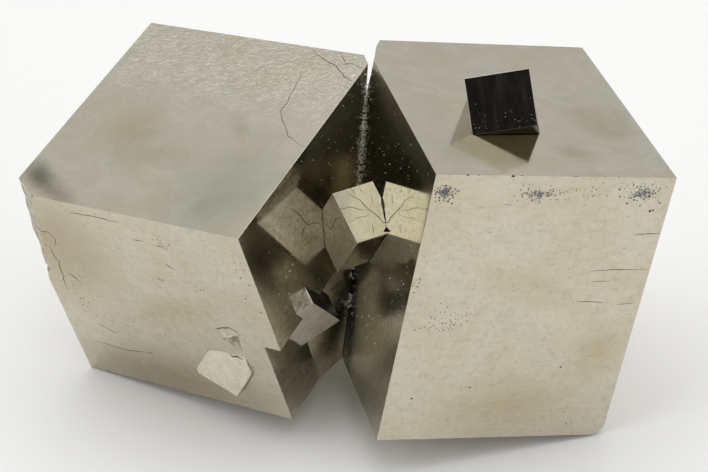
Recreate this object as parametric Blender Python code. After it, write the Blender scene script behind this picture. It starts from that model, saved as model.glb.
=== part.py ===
"""Pyrite specimen: six intergrown cubic crystals that stand on three of their corners.

Two large cubes lean together in a V that opens to the front, and four small cubes are grown
into them: one on top of the right cube, one wedged high in the valley between the two, one low
on the left cube's inner face, and one in the left cube's front face.

The frame has its origin on the ground under the middle of the group, with +Z up, +X to the
right and +Y to the back. Each crystal has a frame of its own, with its origin at the crystal's
middle, x across its front face, y into its depth and z up its front face. Sizes below are in
millimetres and turns in degrees.
"""

from math import radians, tan

import bmesh
import bpy
from mathutils import Euler, Matrix, Vector

MM = 0.001
GAP = 0.3                              # clearance between neighbouring crystals
BEYOND = 3.0                           # how far a cutter reaches out past the face it cuts

# The two large cubes: width, depth and height, then middle and turn.
LEFT_SIZE = (29.4, 28.7, 27.4)
LEFT_PLACE = (-12.65, 0.88, 18.07)
LEFT_TURN = (12.54, -6.57, -30.65)
RIGHT_SIZE = (25.5, 27.6, 32.4)
RIGHT_PLACE = (15.07, -4.97, 18.50)
RIGHT_TURN = (0.0, 11.95, 14.66)

# The small cubes.
TOP_SIZE = (6.6, 7.2, 6.0)
TOP_PLACE = (16.93, -7.01, 35.46)
TOP_TURN = (-48.3, -8.4, 0.5)
VALLEY_SIZE = (4.9, 6.9, 6.0)
VALLEY_PLACE = (1.55, -9.37, 23.40)
VALLEY_TURN = (-56.6, 2.9, 31.4)
INNER_SIZE = (6.4, 7.6, 4.6)
INNER_CORNER = (-3.00, -14.87, 17.76)  # the free corner of the inner cube
INNER_TURN = (123.9, 49.0, 50.8)

# The front cube shows one face, which leans out of the left cube's front. Its outline is in the
# plane of that face: across, then up, from the foot of the face on the left cube's front.
FRONT_FOOT = (4.7, -5.1)               # the face's upper left corner on the left cube's front
FRONT_LEAN = 15.0                      # how far the face leans out, from top to bottom
FRONT_OUTLINE = ((0.0, 0.0), (4.6, 0.5), (5.15, -1.9), (2.8, -5.3), (-2.0, -3.45), (-2.1, -2.9))
FRONT_DEPTH = 2.6
CORNER_REACH = 1.3                     # clearances a corner moves for its sides to move one

# Growth step low on the left cube's inner face: the face is set back below a sharp ledge, and
# comes forward again towards the back of the valley.
STEP_DEPTH = 2.0
STEP_TOP = -2.4                        # height of the ledge above the cube's middle
STEP_BACK = -8.1                       # where the set-back face starts to come forward
STEP_FLARE = 16.5                      # degrees between the face and the part that comes forward

# Broken and grown-over corners, each a flat that meets three edges at these distances from the
# corner.
LEFT_CHIP = (3.6, 2.1, 13.3)           # front upper left corner: across, back, down
RIGHT_CHIP = (1.9, 4.6, 46.0)          # back upper left corner: across, forward, down

PYRITE = (0.50, 0.46, 0.35, 1.0)
PYRITE_BRIGHT = (0.62, 0.58, 0.44, 1.0)
PYRITE_DARK = (0.30, 0.28, 0.22, 1.0)
FACE_ROUGHNESS = 0.3
MIRROR_ROUGHNESS = 0.12


def clear_scene():
    """Remove whatever objects the file opened with."""
    for thing in list(bpy.data.objects):
        bpy.data.objects.remove(thing, do_unlink=True)


def metal(name, colour, roughness):
    """Make the mineral's metallic material."""
    material = bpy.data.materials.new(name)
    material.use_nodes = True
    shader = material.node_tree.nodes["Principled BSDF"]
    shader.inputs["Base Color"].default_value = colour
    shader.inputs["Metallic"].default_value = 1.0
    shader.inputs["Roughness"].default_value = roughness
    return material


def frame_of(place, turn):
    """Return a crystal's frame in metres from its place and turn."""
    rotation = Euler([radians(angle) for angle in turn], "XYZ").to_matrix().to_4x4()
    return Matrix.Translation(Vector(place) * MM) @ rotation


def cuboid(low, high):
    """Return a mesh in the making that fills the box between two corners, in millimetres."""
    low = Vector(low) * MM
    high = Vector(high) * MM
    mesh = bmesh.new()
    bmesh.ops.create_cube(mesh, size=1.0)
    size = high - low
    bmesh.ops.scale(mesh, vec=size, verts=mesh.verts)
    bmesh.ops.translate(mesh, vec=(low + high) / 2, verts=mesh.verts)
    return mesh


def centred(size, grow=0.0):
    """Return a cuboid about the origin, larger on every side by grow."""
    half = Vector(size) / 2 + Vector((grow, grow, grow))
    return cuboid(-half, half)


def prism(outline, near, far):
    """Return a prism with its outline in x and y, in millimetres, between two heights."""
    mesh = bmesh.new()
    corners = [mesh.verts.new(Vector((x, y, near)) * MM) for x, y in outline]
    face = mesh.faces.new(corners)
    result = bmesh.ops.extrude_face_region(mesh, geom=[face])
    moved = [part for part in result["geom"] if isinstance(part, bmesh.types.BMVert)]
    bmesh.ops.translate(mesh, vec=(0.0, 0.0, (far - near) * MM), verts=moved)
    bmesh.ops.recalc_face_normals(mesh, faces=mesh.faces)
    return mesh


def slice_off(mesh, point, normal):
    """Cut away what lies beyond a plane, in metres, and close the cut."""
    everything = list(mesh.verts) + list(mesh.edges) + list(mesh.faces)
    cut = bmesh.ops.bisect_plane(mesh, geom=everything, plane_co=point, plane_no=normal,
                                 clear_outer=True)
    rim = [part for part in cut["geom_cut"] if isinstance(part, bmesh.types.BMEdge)]
    bmesh.ops.contextual_create(mesh, geom=rim)
    bmesh.ops.recalc_face_normals(mesh, faces=mesh.faces)


def chip_corner(mesh, size, signs, reach):
    """Take off one corner with a flat that meets its three edges at the given reaches."""
    corner = Vector([side * sign / 2 for side, sign in zip(size, signs)])
    points = []
    for axis in range(3):
        point = corner.copy()
        point[axis] -= signs[axis] * reach[axis]
        points.append(point * MM)
    normal = (points[1] - points[0]).cross(points[2] - points[0]).normalized()
    if normal.dot(corner) < 0:
        normal.negate()
    slice_off(mesh, points[0], normal)


def add_object(name, mesh, frame, material=None):
    """Put a finished mesh in the scene, placed and turned by its crystal's frame."""
    data = bpy.data.meshes.new(name)
    mesh.to_mesh(data)
    mesh.free()
    thing = bpy.data.objects.new(name, data)
    bpy.context.scene.collection.objects.link(thing)
    thing.matrix_world = frame
    if material:
        data.materials.append(material)
    return thing


def add_cutter(name, mesh, frame):
    """Put a cutter in the scene, which the finished object leaves out."""
    cutter = add_object(name, mesh, frame)
    cutter.hide_render = True
    cutter.display_type = "WIRE"
    return cutter


def cut_with(thing, *cutters):
    """Subtract each cutter from an object."""
    for cutter in cutters:
        cut = thing.modifiers.new("cut_" + cutter.name, "BOOLEAN")
        cut.operation = "DIFFERENCE"
        cut.solver = "EXACT"
        cut.object = cutter


def inner_box(grow=0.0):
    """Return the inner cube, which reaches back and down from its free corner."""
    width, depth, height = INNER_SIZE
    return cuboid((-grow, -depth - grow, -height - grow), (width + grow, grow, grow))


def front_frame(left_frame):
    """Return the frame of the front cube's face, with z out of the face."""
    across, up = FRONT_FOOT
    foot = Matrix.Translation(Vector((across, -LEFT_SIZE[1] / 2, up)) * MM)
    upright = Matrix.Rotation(radians(90.0 - FRONT_LEAN), 4, "X")
    return left_frame @ foot @ upright


def widened_front_outline():
    """Return the front cube's outline with every corner moved out to leave the clearance."""
    corners = [Vector(corner) for corner in FRONT_OUTLINE]
    middle = sum(corners, Vector((0.0, 0.0))) / len(corners)
    return [corner + (corner - middle).normalized() * GAP * CORNER_REACH for corner in corners]


def step_cutter():
    """Return the pocket that sets the left cube's inner face back below the ledge."""
    floor = LEFT_SIZE[0] / 2 - STEP_DEPTH
    outside = LEFT_SIZE[0] / 2 + BEYOND
    front = -LEFT_SIZE[1] / 2 - BEYOND
    flare_run = (outside - floor) / tan(radians(STEP_FLARE))
    outline = ((floor, front), (outside, front), (outside, STEP_BACK + flare_run), (floor, STEP_BACK))
    return prism(outline, -LEFT_SIZE[2] / 2 - BEYOND, STEP_TOP)


def build():
    """Make the six crystals."""
    clear_scene()
    pyrite = metal("pyrite", PYRITE, FACE_ROUGHNESS)
    bright = metal("pyrite_bright", PYRITE_BRIGHT, FACE_ROUGHNESS)
    dark = metal("pyrite_mirror", PYRITE_DARK, MIRROR_ROUGHNESS)

    left_frame = frame_of(LEFT_PLACE, LEFT_TURN)
    right_frame = frame_of(RIGHT_PLACE, RIGHT_TURN)
    top_frame = frame_of(TOP_PLACE, TOP_TURN)
    valley_frame = frame_of(VALLEY_PLACE, VALLEY_TURN)
    inner_frame = frame_of(INNER_CORNER, INNER_TURN)
    face_frame = front_frame(left_frame)

    # The left cube stops just short of the right cube's inner face, where the two grew together.
    left = centred(LEFT_SIZE)
    to_left = left_frame.inverted() @ right_frame
    contact = to_left @ (Vector((-RIGHT_SIZE[0] / 2 - GAP, 0.0, 0.0)) * MM)
    towards_right = to_left.to_3x3() @ Vector((1.0, 0.0, 0.0))
    slice_off(left, contact, towards_right)
    chip_corner(left, LEFT_SIZE, (-1, -1, 1), LEFT_CHIP)
    left_cube = add_object("large_cube_left", left, left_frame, pyrite)

    right = centred(RIGHT_SIZE)
    chip_corner(right, RIGHT_SIZE, (-1, 1, 1), RIGHT_CHIP)
    right_cube = add_object("large_cube_right", right, right_frame, pyrite)

    add_object("top_cube", centred(TOP_SIZE), top_frame, dark)
    add_object("valley_cube", centred(VALLEY_SIZE), valley_frame, bright)
    add_object("inner_cube", inner_box(), inner_frame, pyrite)
    front = prism(FRONT_OUTLINE, -FRONT_DEPTH, 0.0)
    add_object("front_cube", front, face_frame, bright)

    # Sockets: each small cube is sunk into its host with a thin clearance all round.
    top_socket = add_cutter("top_socket", centred(TOP_SIZE, GAP), top_frame)
    valley_socket = add_cutter("valley_socket", centred(VALLEY_SIZE, GAP), valley_frame)
    inner_socket = add_cutter("inner_socket", inner_box(GAP), inner_frame)
    front_hole = prism(widened_front_outline(), -FRONT_DEPTH - GAP, GAP)
    front_socket = add_cutter("front_socket", front_hole, face_frame)
    step = add_cutter("inner_step", step_cutter(), left_frame)

    cut_with(left_cube, step, valley_socket, inner_socket, front_socket)
    cut_with(right_cube, top_socket, valley_socket)


build()
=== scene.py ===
"""Pyrite specimen: six intergrown cubic crystals, modelled finely around the fixed frame.

Each crystal is modelled in a frame of its own, with its origin at the crystal's middle, x across
its front face, y into its depth and z up its front face, and is then put in its place in the
group. Sizes in the functions below are in millimetres unless a line says otherwise.
"""

import random
from collections import Counter
from contextlib import contextmanager
from math import cos, radians, sin

import bpy
from bpy.props import FloatProperty, FloatVectorProperty, PointerProperty, StringProperty
from mathutils import Euler, Matrix, Vector


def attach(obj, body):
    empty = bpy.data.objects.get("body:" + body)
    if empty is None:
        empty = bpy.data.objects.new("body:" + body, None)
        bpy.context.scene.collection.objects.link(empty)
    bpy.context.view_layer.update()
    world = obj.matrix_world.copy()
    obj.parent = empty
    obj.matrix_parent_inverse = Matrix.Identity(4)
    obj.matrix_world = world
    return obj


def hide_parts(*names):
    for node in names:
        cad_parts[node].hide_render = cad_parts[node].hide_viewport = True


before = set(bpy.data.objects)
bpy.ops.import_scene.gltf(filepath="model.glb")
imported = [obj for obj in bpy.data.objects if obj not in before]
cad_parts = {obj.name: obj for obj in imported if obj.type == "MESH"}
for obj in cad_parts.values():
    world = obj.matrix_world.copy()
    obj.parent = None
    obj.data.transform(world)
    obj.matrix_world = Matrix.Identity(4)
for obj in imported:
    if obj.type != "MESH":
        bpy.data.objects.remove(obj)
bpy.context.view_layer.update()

bl_info = {
    "name": "Pyrite specimen",
    "version": (1, 0, 0),
    "blender": (4, 5, 0),
    "location": "View3D > Sidebar > Pyrite",
    "description": "Models a group of intergrown pyrite cubes with striated, mirror-like and broken faces",
    "category": "Add Mesh",
}

MM = 0.001
MERGE = 0.0005  # places closer than this are one corner
HAIRLINE = 0.2  # the widest sliver that mending closes
WELD = 0.0001  # places on a crack cutter closer than this are one corner
FLAT = 0.999  # how well a face lines up with the side that it belongs to
WORN_ANGLE = 50.0  # edges sharper than this, in degrees, are worn
CRACK_STEP = 0.6  # how often a crack wanders
CRACK_TIP = 0.35  # how thick a crack's ends are, for a middle of 1
PIT_DEPTH = 0.6  # how deep a pit is, for a radius of 1
PIT_ROOM = 1.3  # how far the next pit keeps away, for a radius of 1
PIT_TRIES = 6  # places tried for each pit in a crowded patch
GRAIN_EDGE = 0.22  # how blunt a grain is, for a width of 1
FINE_GRAIN = (0.04, 0.10)
FRACTURE_CELLS = 26  # facets along the face of a broken corner's cutter
FRACTURE_STEP = Vector((37.0, 21.0, 0.0))  # from one seed's stretch of fracture to the next
SPECK_SHADE = "BBB7AD"
SEEDS = {"left": 11, "right": 23, "top": 31, "valley": 41, "front": 53}
GRAINS = {"left": 80, "seam": 560, "right": 130, "top": 30}
SEAM_CLUMPS = 14
FACES = {
    "left": Vector((-1.0, 0.0, 0.0)),
    "right": Vector((1.0, 0.0, 0.0)),
    "front": Vector((0.0, -1.0, 0.0)),
    "back": Vector((0.0, 1.0, 0.0)),
    "base": Vector((0.0, 0.0, -1.0)),
    "top": Vector((0.0, 0.0, 1.0)),
}

# The front cube: its outline from its upper left corner, its depth, the low and high corners of the
# block that it is cut from, and the place of its upper left corner on the left cube's front.
FRONT_OUTLINE = ((0.0, 0.0), (4.6, 0.5), (5.15, -1.9), (2.8, -5.3), (-2.0, -3.45), (-2.1, -2.9))
FRONT_DEPTH = 2.6
FRONT_BLOCK = ((-3.5, -7.0), (6.5, 1.5))
FRONT_PLACE = (4.7, -5.1)

# The step low on the left cube's inner face: how deep it is, its top and back edges, how far its
# back wall flares, in degrees, and how far its cutter stands out in front, aside and behind.
STEP_DEPTH = 2.0
STEP_TOP = -2.4
STEP_BACK = -8.1
STEP_FLARE = 16.5
STEP_CLEAR = (3.0, 5.0, 20.0)

# Heights of the places that the hairline between the valley cube and the right cube runs through.
VALLEY_CONTACT = (1.4, 0.8, 0.2, -0.5, -1.2, -1.9, -2.6)

# Rows of spots on a crystal's faces, stains and tone along with painted shade and painted reflection:
# middle, radii, turn in degrees and tint.
LEFT_SATIN_SPOTS = (
    ((-11.0, -14.3, 7.0), (11.0, 3.0, 11.0), 10.0, "E3DCD0"),
    ((-2.0, -14.3, -11.5), (17.0, 3.0, 5.5), 3.0, "DCD7CC"),
    ((2.0, -14.3, 0.0), (8.0, 3.0, 3.0), 20.0, "F6F0E2"),
)
LEFT_TOP_SPOTS_AND_PAINTED_REFLECTION = (
    # The first two rows paint a dark reflection, a soft grey streak along the front edge from the left
    # corner; the others are stains and tone.
    ((-10.6, -12.6, 13.7), (8.0, 1.9, 4.0), 22.0, "C6C6C3"),
    ((-12.6, -11.2, 13.7), (3.4, 1.8, 4.0), 40.0, "BEBEBB"),
    ((5.6, 0.8, 13.7), (3.6, 1.3, 3.0), 50.0, "F2EFE8"),
    ((-1.0, -5.6, 13.7), (6.0, 2.4, 3.0), -15.0, "F2EFE8"),
    ((-6.0, -3.0, 13.7), (6.0, 5.0, 3.0), 20.0, "F3EEE4"),
    ((9.0, -9.0, 13.7), (8.0, 10.0, 9.0), 0.0, "E6E9E6"),
)
LEFT_INNER_PAINTED_SHADE = (
    # Painted shade: neutral grey darkening on the left cube's mirror-like inner face, in the valley between
    # the two large cubes.
    ((14.7, 1.0, 8.0), (4.0, 4.6, 4.2), 0.0, "8C8B86"),
    ((14.7, -1.0, 1.0), (4.0, 3.5, 3.0), 0.0, "B4B3AC"),
)
RIGHT_SATIN_SPOTS = (
    ((9.5, -13.8, -5.0), (4.0, 3.0, 5.0), -25.0, "F3EDDF"),
    ((0.0, -13.8, -12.0), (10.0, 3.0, 5.0), 10.0, "F4EFE3"),
    ((0.0, -13.8, 3.0), (9.0, 3.0, 2.6), -20.0, "F7F2E8"),
)
RIGHT_TOP_SPOTS = (
    ((3.5, -9.5, 16.2), (3.5, 2.0, 3.0), 20.0, "EDE6DA"),
    ((8.5, -3.0, 16.2), (5.0, 6.0, 3.0), 0.0, "EDEAE0"),
    ((-8.0, -9.0, 16.2), (6.0, 4.0, 3.0), 0.0, "F2F3F0"),
)
RIGHT_INNER_PAINTED_SHADE = (
    # Painted shade: a long dark band on the right cube's mirror-like inner face, where the valley cube's
    # shadow falls, and a grey patch towards the front.
    ((-12.75, 0.7, -10.5), (4.0, 2.1, 14.0), 19.5, "383834"),
    ((-12.75, -7.0, -2.0), (4.0, 3.5, 3.0), 0.0, "9C9B95"),
)

# Rows of etched patches: middle and radii.
RIGHT_ETCHED = (
    ((-11.4, -13.8, 14.1), (1.5, 3.0, 1.1)),
    ((-1.6, -13.8, 14.1), (2.2, 3.0, 0.8)),
    ((9.6, -13.8, 14.3), (2.4, 3.0, 1.1)),
    ((12.6, -13.8, -16.0), (0.9, 3.0, 1.3)),
)

# Rows of cracks: width, then the places it runs through, across and up its face.
LEFT_TOP_CRACKS = (
    (0.08, (7.9, 10.5), (8.5, 8.1), (8.8, 6.0), (9.0, 4.0), (10.1, 2.6), (11.9, 0.6),
     (13.0, 0.0), (14.6, -0.4)),
    (0.1, (7.4, 13.9), (8.3, 13.2), (9.8, 12.6), (11.5, 11.8), (13.3, 10.5), (14.9, 10.0)),
    (0.09, (10.6, 14.2), (11.4, 13.3), (12.2, 12.6), (13.2, 12.6), (14.6, 12.2)),
    (0.08, (11.3, 11.9), (12.0, 12.2), (12.6, 12.6)),
)
LEFT_FRONT_CRACKS = (
    (0.1, (-13.4, 7.6), (-12.6, 8.3), (-11.6, 8.4), (-10.9, 7.6), (-11.1, 6.6), (-11.6, 6.4)),
    (0.12, (-12.9, 6.3), (-12.2, 6.0), (-12.3, 4.9), (-11.9, 3.9), (-12.3, 2.6), (-12.2, 1.6),
     (-12.6, 0.6), (-12.5, -0.6)),
    (0.1, (0.4, 10.2), (1.1, 10.3), (2.0, 10.3)),
    (0.14, (3.4, 10.0), (4.0, 10.1), (4.7, 9.7)),
    (0.15, (3.6, 7.5), (4.4, 6.9)),
    (0.15, (1.5, 4.9), (2.4, 4.5)),
    (0.12, (0.8, 3.8), (1.6, 3.5)),
    (0.12, (-11.3, 2.3), (-10.2, 1.7)),
    (0.12, (-10.9, 1.9), (-9.9, 1.3)),
    (0.1, (-9.9, 2.4), (-9.2, 2.0)),
    (0.09, (-10.4, -5.3), (-7.9, -6.3)),
    (0.1, (-7.6, 12.3), (-4.0, 12.5), (-0.5, 12.4)),
    (0.09, (-4.0, -8.3), (-8.0, -8.8), (-12.2, -8.6)),
)
LEFT_HIDDEN_CRACKS = {
    "left": (
        (0.1, (-11.0, 6.0), (-8.0, 6.3), (-4.5, 6.2)),
        (0.1, (2.0, -3.0), (6.5, -3.2)),
        (0.1, (5.0, 8.5), (9.0, 8.4), (12.0, 8.8)),
    ),
    "back": (
        (0.1, (-10.0, 3.0), (-5.0, 3.4), (-1.0, 3.1)),
        (0.1, (1.0, -6.0), (3.0, -6.1)),
    ),
}
CRESCENT = (0.17, (6.9, -1.3), (7.9, -0.8), (8.9, -0.55), (9.7, -0.9), (10.0, -1.5))
RIGHT_FRONT_CRACKS = (
    (0.1, (9.9, 9.4), (11.4, 9.6), (12.9, 9.6)),
    (0.08, (6.0, 5.0), (8.2, 5.2), (12.4, 5.2)),
    (0.07, (6.6, 3.7), (8.6, 3.8)),
    (0.07, (10.1, 0.9), (11.9, 1.0)),
    (0.1, (-5.1, 12.9), (-4.3, 12.8)),
    (0.08, (11.8, 8.4), (12.5, 8.5)),
    (0.08, (5.5, 1.3), (8.5, 1.1)),
)
RIGHT_HIDDEN_CRACKS = {
    "right": (
        (0.1, (-12.0, 9.0), (-9.0, 9.2), (-6.0, 9.1)),
        (0.1, (0.0, 2.0), (5.0, 2.2)),
        (0.1, (4.0, -7.0), (8.0, -6.8), (12.0, -7.1)),
    ),
    "back": (
        (0.1, (-8.0, 6.0), (-3.0, 6.2)),
        (0.1, (2.0, -4.0), (6.0, -4.2), (9.0, -4.1)),
    ),
}
VALLEY_FRONT_CRACKS = (
    (0.07, (-2.5, 1.2), (-1.3, 0.95), (-0.4, 0.4), (0.4, 0.1)),
    (0.09, (-0.8, 2.7), (0.1, 1.3), (0.8, -0.4), (1.4, -1.7), (2.1, -2.3)),
    (0.07, (-0.3, 3.1), (-0.1, 2.2)),
    (0.06, (0.7, 2.9), (0.9, 2.0)),
    (0.07, (0.1, -1.4), (-0.3, -2.7)),
    (0.06, (1.5, 1.6), (1.3, 0.4)),
    (0.05, (-2.0, -0.6), (-1.2, -0.2), (-0.1, -0.5), (0.7, -0.3)),
)
VALLEY_LEFT_CRACKS = (
    (0.1, (1.2, 1.8), (0.3, 0.6), (-1.2, 0.9), (-2.4, 0.6)),
    (0.1, (0.3, 0.5), (0.9, -1.0)),
)
FRONT_NICK = (0.2, (2.6, 0.25), (3.1, -0.2), (3.7, 0.0), (4.4, -0.2))

# Rows of pits: middle and spread across and up a face, count, least and greatest radius.
LEFT_PITS = (
    ((4.0, 10.6), (0.5, 0.25), 9, (0.06, 0.12)),
    ((13.6, 7.6), (0.6, 2.2), 10, (0.06, 0.13)),
    ((5.2, 3.4), (2.5, 1.6), 8, (0.05, 0.11)),
    ((-6.0, -4.7), (3.4, 2.4), 8, (0.05, 0.1)),
    ((-10.9, -0.6), (0.6, 1.2), 10, (0.05, 0.11)),
)
LEFT_HIDDEN_PITS = (
    ((4.0, 4.0), (2.5, 2.0), 14, (0.05, 0.12)),
    ((-5.0, -2.0), (3.0, 3.0), 12, (0.05, 0.12)),
)
RIGHT_PITS = (
    ((11.0, 12.3), (0.15, 0.1), 3, (0.12, 0.17)),
    ((5.7, -7.1), (0.05, 0.05), 1, (0.13, 0.14)),
    ((-9.9, -10.8), (0.05, 0.05), 1, (0.13, 0.14)),
    ((-3.9, -9.5), (0.1, 0.1), 1, (0.12, 0.13)),
    ((8.9, -14.5), (0.4, 0.1), 2, (0.08, 0.1)),
    ((-8.3, -1.1), (1.3, 0.9), 46, (0.05, 0.1)),
    ((-12.2, 3.4), (0.3, 0.4), 8, (0.05, 0.11)),
)
RIGHT_ETCHED_PITS = (
    ((-11.4, 14.1), (0.55, 0.5), 44, (0.05, 0.14)),
    ((-2.3, 14.1), (0.75, 0.4), 34, (0.05, 0.12)),
    ((-0.2, 14.2), (0.6, 0.4), 16, (0.05, 0.12)),
    ((9.4, 14.4), (1.2, 0.6), 52, (0.05, 0.14)),
)
RIGHT_FINE_PITS = (
    ((4.5, 14.2), (2.4, 0.5), 22, (0.05, 0.09)),
    ((-2.0, 0.0), (6.5, 7.5), 46, (0.035, 0.07)),
)
RIGHT_HIDDEN_PITS = (
    ((4.0, 8.0), (2.5, 2.5), 14, (0.05, 0.12)),
    ((-4.0, -6.0), (3.0, 3.5), 14, (0.05, 0.12)),
)

# Rows of broken corners: signs, reaches along the three edges, width of the cutter and seed.
LEFT_BROKEN = (
    ((-1, -1, 1), (3.6, 2.1, 13.3), 24.0, 3),
    ((-1, 1, -1), (2.4, 3.0, 2.0), 12.0, 5),
)
RIGHT_BROKEN = (
    ((-1, 1, 1), (1.9, 4.6, 46.0), 70.0, 2),
    ((1, -1, -1), (0.9, 1.0, 1.3), 9.0, 7),
    ((1, 1, -1), (2.2, 1.4, 1.6), 9.0, 8),
)

# Rows of small breaks in an edge: place along the edge and radii or radius.
LEFT_EDGE_BREAKS = (
    (8.6, (0.9, 0.7, 0.5)),
    (6.9, (0.7, 0.8, 0.7)),
    (4.7, (0.8, 0.6, 0.9)),
    (2.2, (0.6, 0.6, 0.5)),
)
RIGHT_EDGE_BREAKS = (
    ((-9.5, 16.15), 0.11),
    ((-8.4, 16.2), 0.09),
    ((-4.8, 16.1), 0.14),
    ((-3.9, 16.2), 0.09),
    ((1.8, 16.2), 0.09),
    ((6.4, 16.2), 0.08),
)


def triple(name, description, default):
    """Return a property of three numbers along X, Y and Z."""
    return FloatVectorProperty(name=name, description=description, default=default, size=3,
                               subtype="XYZ")


def turned(name, *degrees):
    """Return a property of three turns, about X, then Y, then Z."""
    return FloatVectorProperty(name=name, description="Turn about X, then Y, then Z", size=3,
                               subtype="EULER", default=[radians(angle) for angle in degrees])


def extent(name, *default):
    """Return a property of a crystal's size."""
    return triple(name, "Width, depth and height", default)


def middle_of(name, *default):
    """Return a property of a crystal's place."""
    return triple(name, "Middle of the cube", default)


def colour_of(name, description, default):
    """Return a property of a colour, as a hex value."""
    return StringProperty(name=name, description=description, default=default)


def light_of(name, description, default):
    """Return a property of a light's strength."""
    return FloatProperty(name=name, description=description, default=default, min=0.0)


class PyriteSizes(bpy.types.PropertyGroup):
    """Sizes, places and turns of the crystals, in millimetres and degrees."""

    left_size: extent("Left cube size", 29.4, 28.7, 27.4)
    left_place: middle_of("Left cube place", -12.65, 0.88, 18.07)
    left_turn: turned("Left cube turn", 12.54, -6.57, -30.65)
    right_size: extent("Right cube size", 25.5, 27.6, 32.4)
    right_place: middle_of("Right cube place", 15.07, -4.97, 18.50)
    right_turn: turned("Right cube turn", 0.0, 11.95, 14.66)
    top_size: extent("Top cube size", 6.6, 7.2, 6.0)
    top_place: middle_of("Top cube place", 16.93, -7.01, 35.46)
    top_turn: turned("Top cube turn", -48.3, -8.4, 0.5)
    valley_size: extent("Valley cube size", 4.9, 6.9, 6.0)
    valley_place: middle_of("Valley cube place", 1.55, -9.37, 23.40)
    valley_turn: turned("Valley cube turn", -56.6, 2.9, 31.4)
    inner_size: extent("Inner cube size", 6.4, 7.6, 4.6)
    inner_place: triple("Inner cube corner", "Free corner of the cube", (-3.00, -14.87, 17.76))
    inner_turn: turned("Inner cube turn", 123.9, 49.0, 50.8)
    front_lean: FloatProperty(name="Front cube lean", default=radians(15.0), subtype="ANGLE",
                              description="How far the front cube's face leans out")
    edge_wear: FloatProperty(name="Edge wear", description="Width of the worn crystal edges",
                             default=0.05, min=0.02, max=0.5)
    contact: FloatProperty(name="Contact gap", description="Hairline between two crystals",
                           default=0.05, min=0.01, max=0.3)


class PyriteColours(bpy.types.PropertyGroup):
    """Colours of the mineral and of what lies on it, as hex values."""

    clean: colour_of("Clean face", "Untarnished pyrite", "D2CCBB")
    dull: colour_of("Dull face", "Pyrite dulled by fine etching", "CAC4B2")
    tarnish: colour_of("Tarnish", "Faint brown film", "C4B99F")
    polished: colour_of("Polished top", "Smooth grey pyrite", "C9C5B6")
    clouded: colour_of("Clouded top", "Slightly duller grey pyrite", "BEBBAB")
    stained: colour_of("Stained top", "Brown film on the smooth tops", "BFB49D")
    bright: colour_of("Fresh face", "Fresh brassy pyrite", "B3B098")
    pale: colour_of("Pale face", "Pale satin pyrite", "E4DFCD")
    grey: colour_of("Grey face", "Fresh grey pyrite", "E2DFD6")
    groove: colour_of("Groove", "Dark oxide in cracks and pits", "453F36")
    film: colour_of("Dark film", "Dark film on a sheltered face", "6E695A")
    etched: colour_of("Etched patch", "Blue-grey corroded patches", "7C7F82")
    fracture: colour_of("Fracture", "Uneven broken surface", "BDB7A4")
    dust: colour_of("Mineral dust", "Pale dust and grains", "FFFCF4")
    floor: colour_of("Floor", "Pale studio floor", "FBFBFA")


class PyriteStage(bpy.types.PropertyGroup):
    """Camera and light."""

    camera_place: triple("Camera place", "Place of the camera, in millimetres",
                         (5.13, -185.22, 144.05))
    camera_turn: turned("Camera turn", 55.275, 1.754, 0.0)
    lens: FloatProperty(name="Lens", description="Focal length", default=104.17, unit="CAMERA")
    overhead: light_of("Overhead light", "Strength of the soft box above", 2.0)
    sides: light_of("Light at the sides", "Strength of the side soft boxes", 1.1)
    behind: light_of("Light behind", "Strength of the pale wall behind", 0.70)
    before: light_of("Light before", "Strength of the dark room in front", 0.06)


# ------------------------------------------------------------------------------ colours and nodes


def linear(hex_colour):
    """Turn an sRGB hex colour into Blender's linear colour with alpha."""
    channels = []
    for start in (0, 2, 4):
        value = int(hex_colour[start:start + 2], 16) / 255
        channels.append(value / 12.92 if value <= 0.04045 else ((value + 0.055) / 1.055) ** 2.4)
    return (*channels, 1.0)


def feed(tree, node, inputs):
    """Link or set a node's open inputs, by name or number; a node stands for its first output."""
    sockets = [socket for socket in node.inputs if socket.enabled]
    for key, value in inputs.items():
        named = [socket for socket in sockets if socket.name == key]
        socket = named[0] if named else sockets[key]
        if isinstance(value, bpy.types.Node):
            value = next(output for output in value.outputs if output.enabled)
        if isinstance(value, bpy.types.NodeSocket):
            tree.links.new(value, socket)
        else:
            socket.default_value = value


def add(tree, kind, inputs=None, **settings):
    """Add a node with its settings and links."""
    node = tree.nodes.new("ShaderNode" + kind)
    for name, value in settings.items():
        setattr(node, name, value)
    feed(tree, node, inputs or {})
    return node


def new_material(name, metallic, roughness):
    """Make a material and return it with its tree and its shader."""
    material = bpy.data.materials.new(name)
    material.use_nodes = True
    shader = material.node_tree.nodes["Principled BSDF"]
    shader.inputs["Metallic"].default_value = metallic
    shader.inputs["Roughness"].default_value = roughness
    return material, material.node_tree, shader


def own_millimetres(tree, place, turn, stretch=(1.0, 1.0, 1.0)):
    """Add the place on a crystal along its own axes, in millimetres, times stretch."""
    here = add(tree, "TexCoord").outputs["Object"]
    return add(tree, "Mapping", {"Vector": here, "Location": Vector(place) * MM, "Rotation": turn,
                                 "Scale": [MM / part for part in stretch]}, vector_type="TEXTURE")


def distance_from(tree, own, middle, radii, angle, axis):
    """Add how far a place is from the middle of an oval spot: 1 at its rim."""
    here = add(tree, "VectorMath", {0: own, 1: middle}, operation="SUBTRACT")
    here = add(tree, "VectorRotate", {"Vector": here, "Angle": radians(angle)}, rotation_type=axis)
    here = add(tree, "VectorMath", {0: here, 1: radii}, operation="DIVIDE")
    return add(tree, "VectorMath", {0: here}, operation="LENGTH")


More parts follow.
